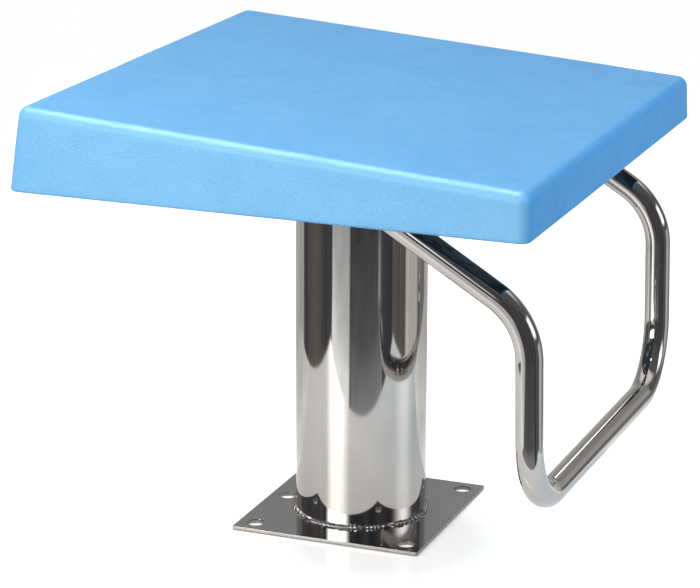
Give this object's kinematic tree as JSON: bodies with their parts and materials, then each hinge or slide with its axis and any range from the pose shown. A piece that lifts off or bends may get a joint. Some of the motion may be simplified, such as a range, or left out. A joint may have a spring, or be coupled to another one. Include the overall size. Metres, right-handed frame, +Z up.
{
  "type": "swimming starting block",
  "caption": "Blue hollow slip-resistant platform sloping to the water on a polished column and drilled base plate, with a bent grip tube hung in front.",
  "frame": {"origin": "centre of the base plate's underside, on the column's axis and on the pool deck", "axes": "+Z up along the column, +X towards the water, +Y across the platform's width"},
  "size_m": [0.5965, 0.637, 0.5312],
  "materials": {
    "gel_coat": "blue gel coat over glass laminate with a slip-resistant grain, semi-gloss",
    "polished_steel": "mirror-polished stainless steel",
    "brushed_steel": "brushed stainless steel",
    "weld_metal": "rippled weld bead, lightly polished",
    "fastener_steel": "plain stainless fastener, satin",
    "bush_brass": "turned brass"
  },
  "bodies": {
    "root": {"platform_shell": "gel_coat", "column_tube": "polished_steel", "base_plate": "polished_steel", "base_weld": "weld_metal", "top_flange": "brushed_steel", "top_weld": "weld_metal", "grip_tube": "polished_steel", "grip_plate_near": "brushed_steel", "grip_weld_near": "weld_metal", "grip_plate_far": "brushed_steel", "grip_weld_far": "weld_metal", "flange_bolt_1": "fastener_steel", "flange_washer_1": "fastener_steel", "flange_bush_1": "bush_brass", "flange_bolt_2": "fastener_steel", "flange_washer_2": "fastener_steel", "flange_bush_2": "bush_brass", "flange_bolt_3": "fastener_steel", "flange_washer_3": "fastener_steel", "flange_bush_3": "bush_brass", "flange_bolt_4": "fastener_steel", "flange_washer_4": "fastener_steel", "flange_bush_4": "bush_brass", "grip_near_bolt_1": "fastener_steel", "grip_near_washer_1": "fastener_steel", "grip_near_bush_1": "bush_brass", "grip_near_bolt_2": "fastener_steel", "grip_near_washer_2": "fastener_steel", "grip_near_bush_2": "bush_brass", "grip_near_bolt_3": "fastener_steel", "grip_near_washer_3": "fastener_steel", "grip_near_bush_3": "bush_brass", "grip_near_bolt_4": "fastener_steel", "grip_near_washer_4": "fastener_steel", "grip_near_bush_4": "bush_brass", "grip_far_bolt_1": "fastener_steel", "grip_far_washer_1": "fastener_steel", "grip_far_bush_1": "bush_brass", "grip_far_bolt_2": "fastener_steel", "grip_far_washer_2": "fastener_steel", "grip_far_bush_2": "bush_brass", "grip_far_bolt_3": "fastener_steel", "grip_far_washer_3": "fastener_steel", "grip_far_bush_3": "bush_brass", "grip_far_bolt_4": "fastener_steel", "grip_far_washer_4": "fastener_steel", "grip_far_bush_4": "bush_brass"}
  },
  "joints": []
}
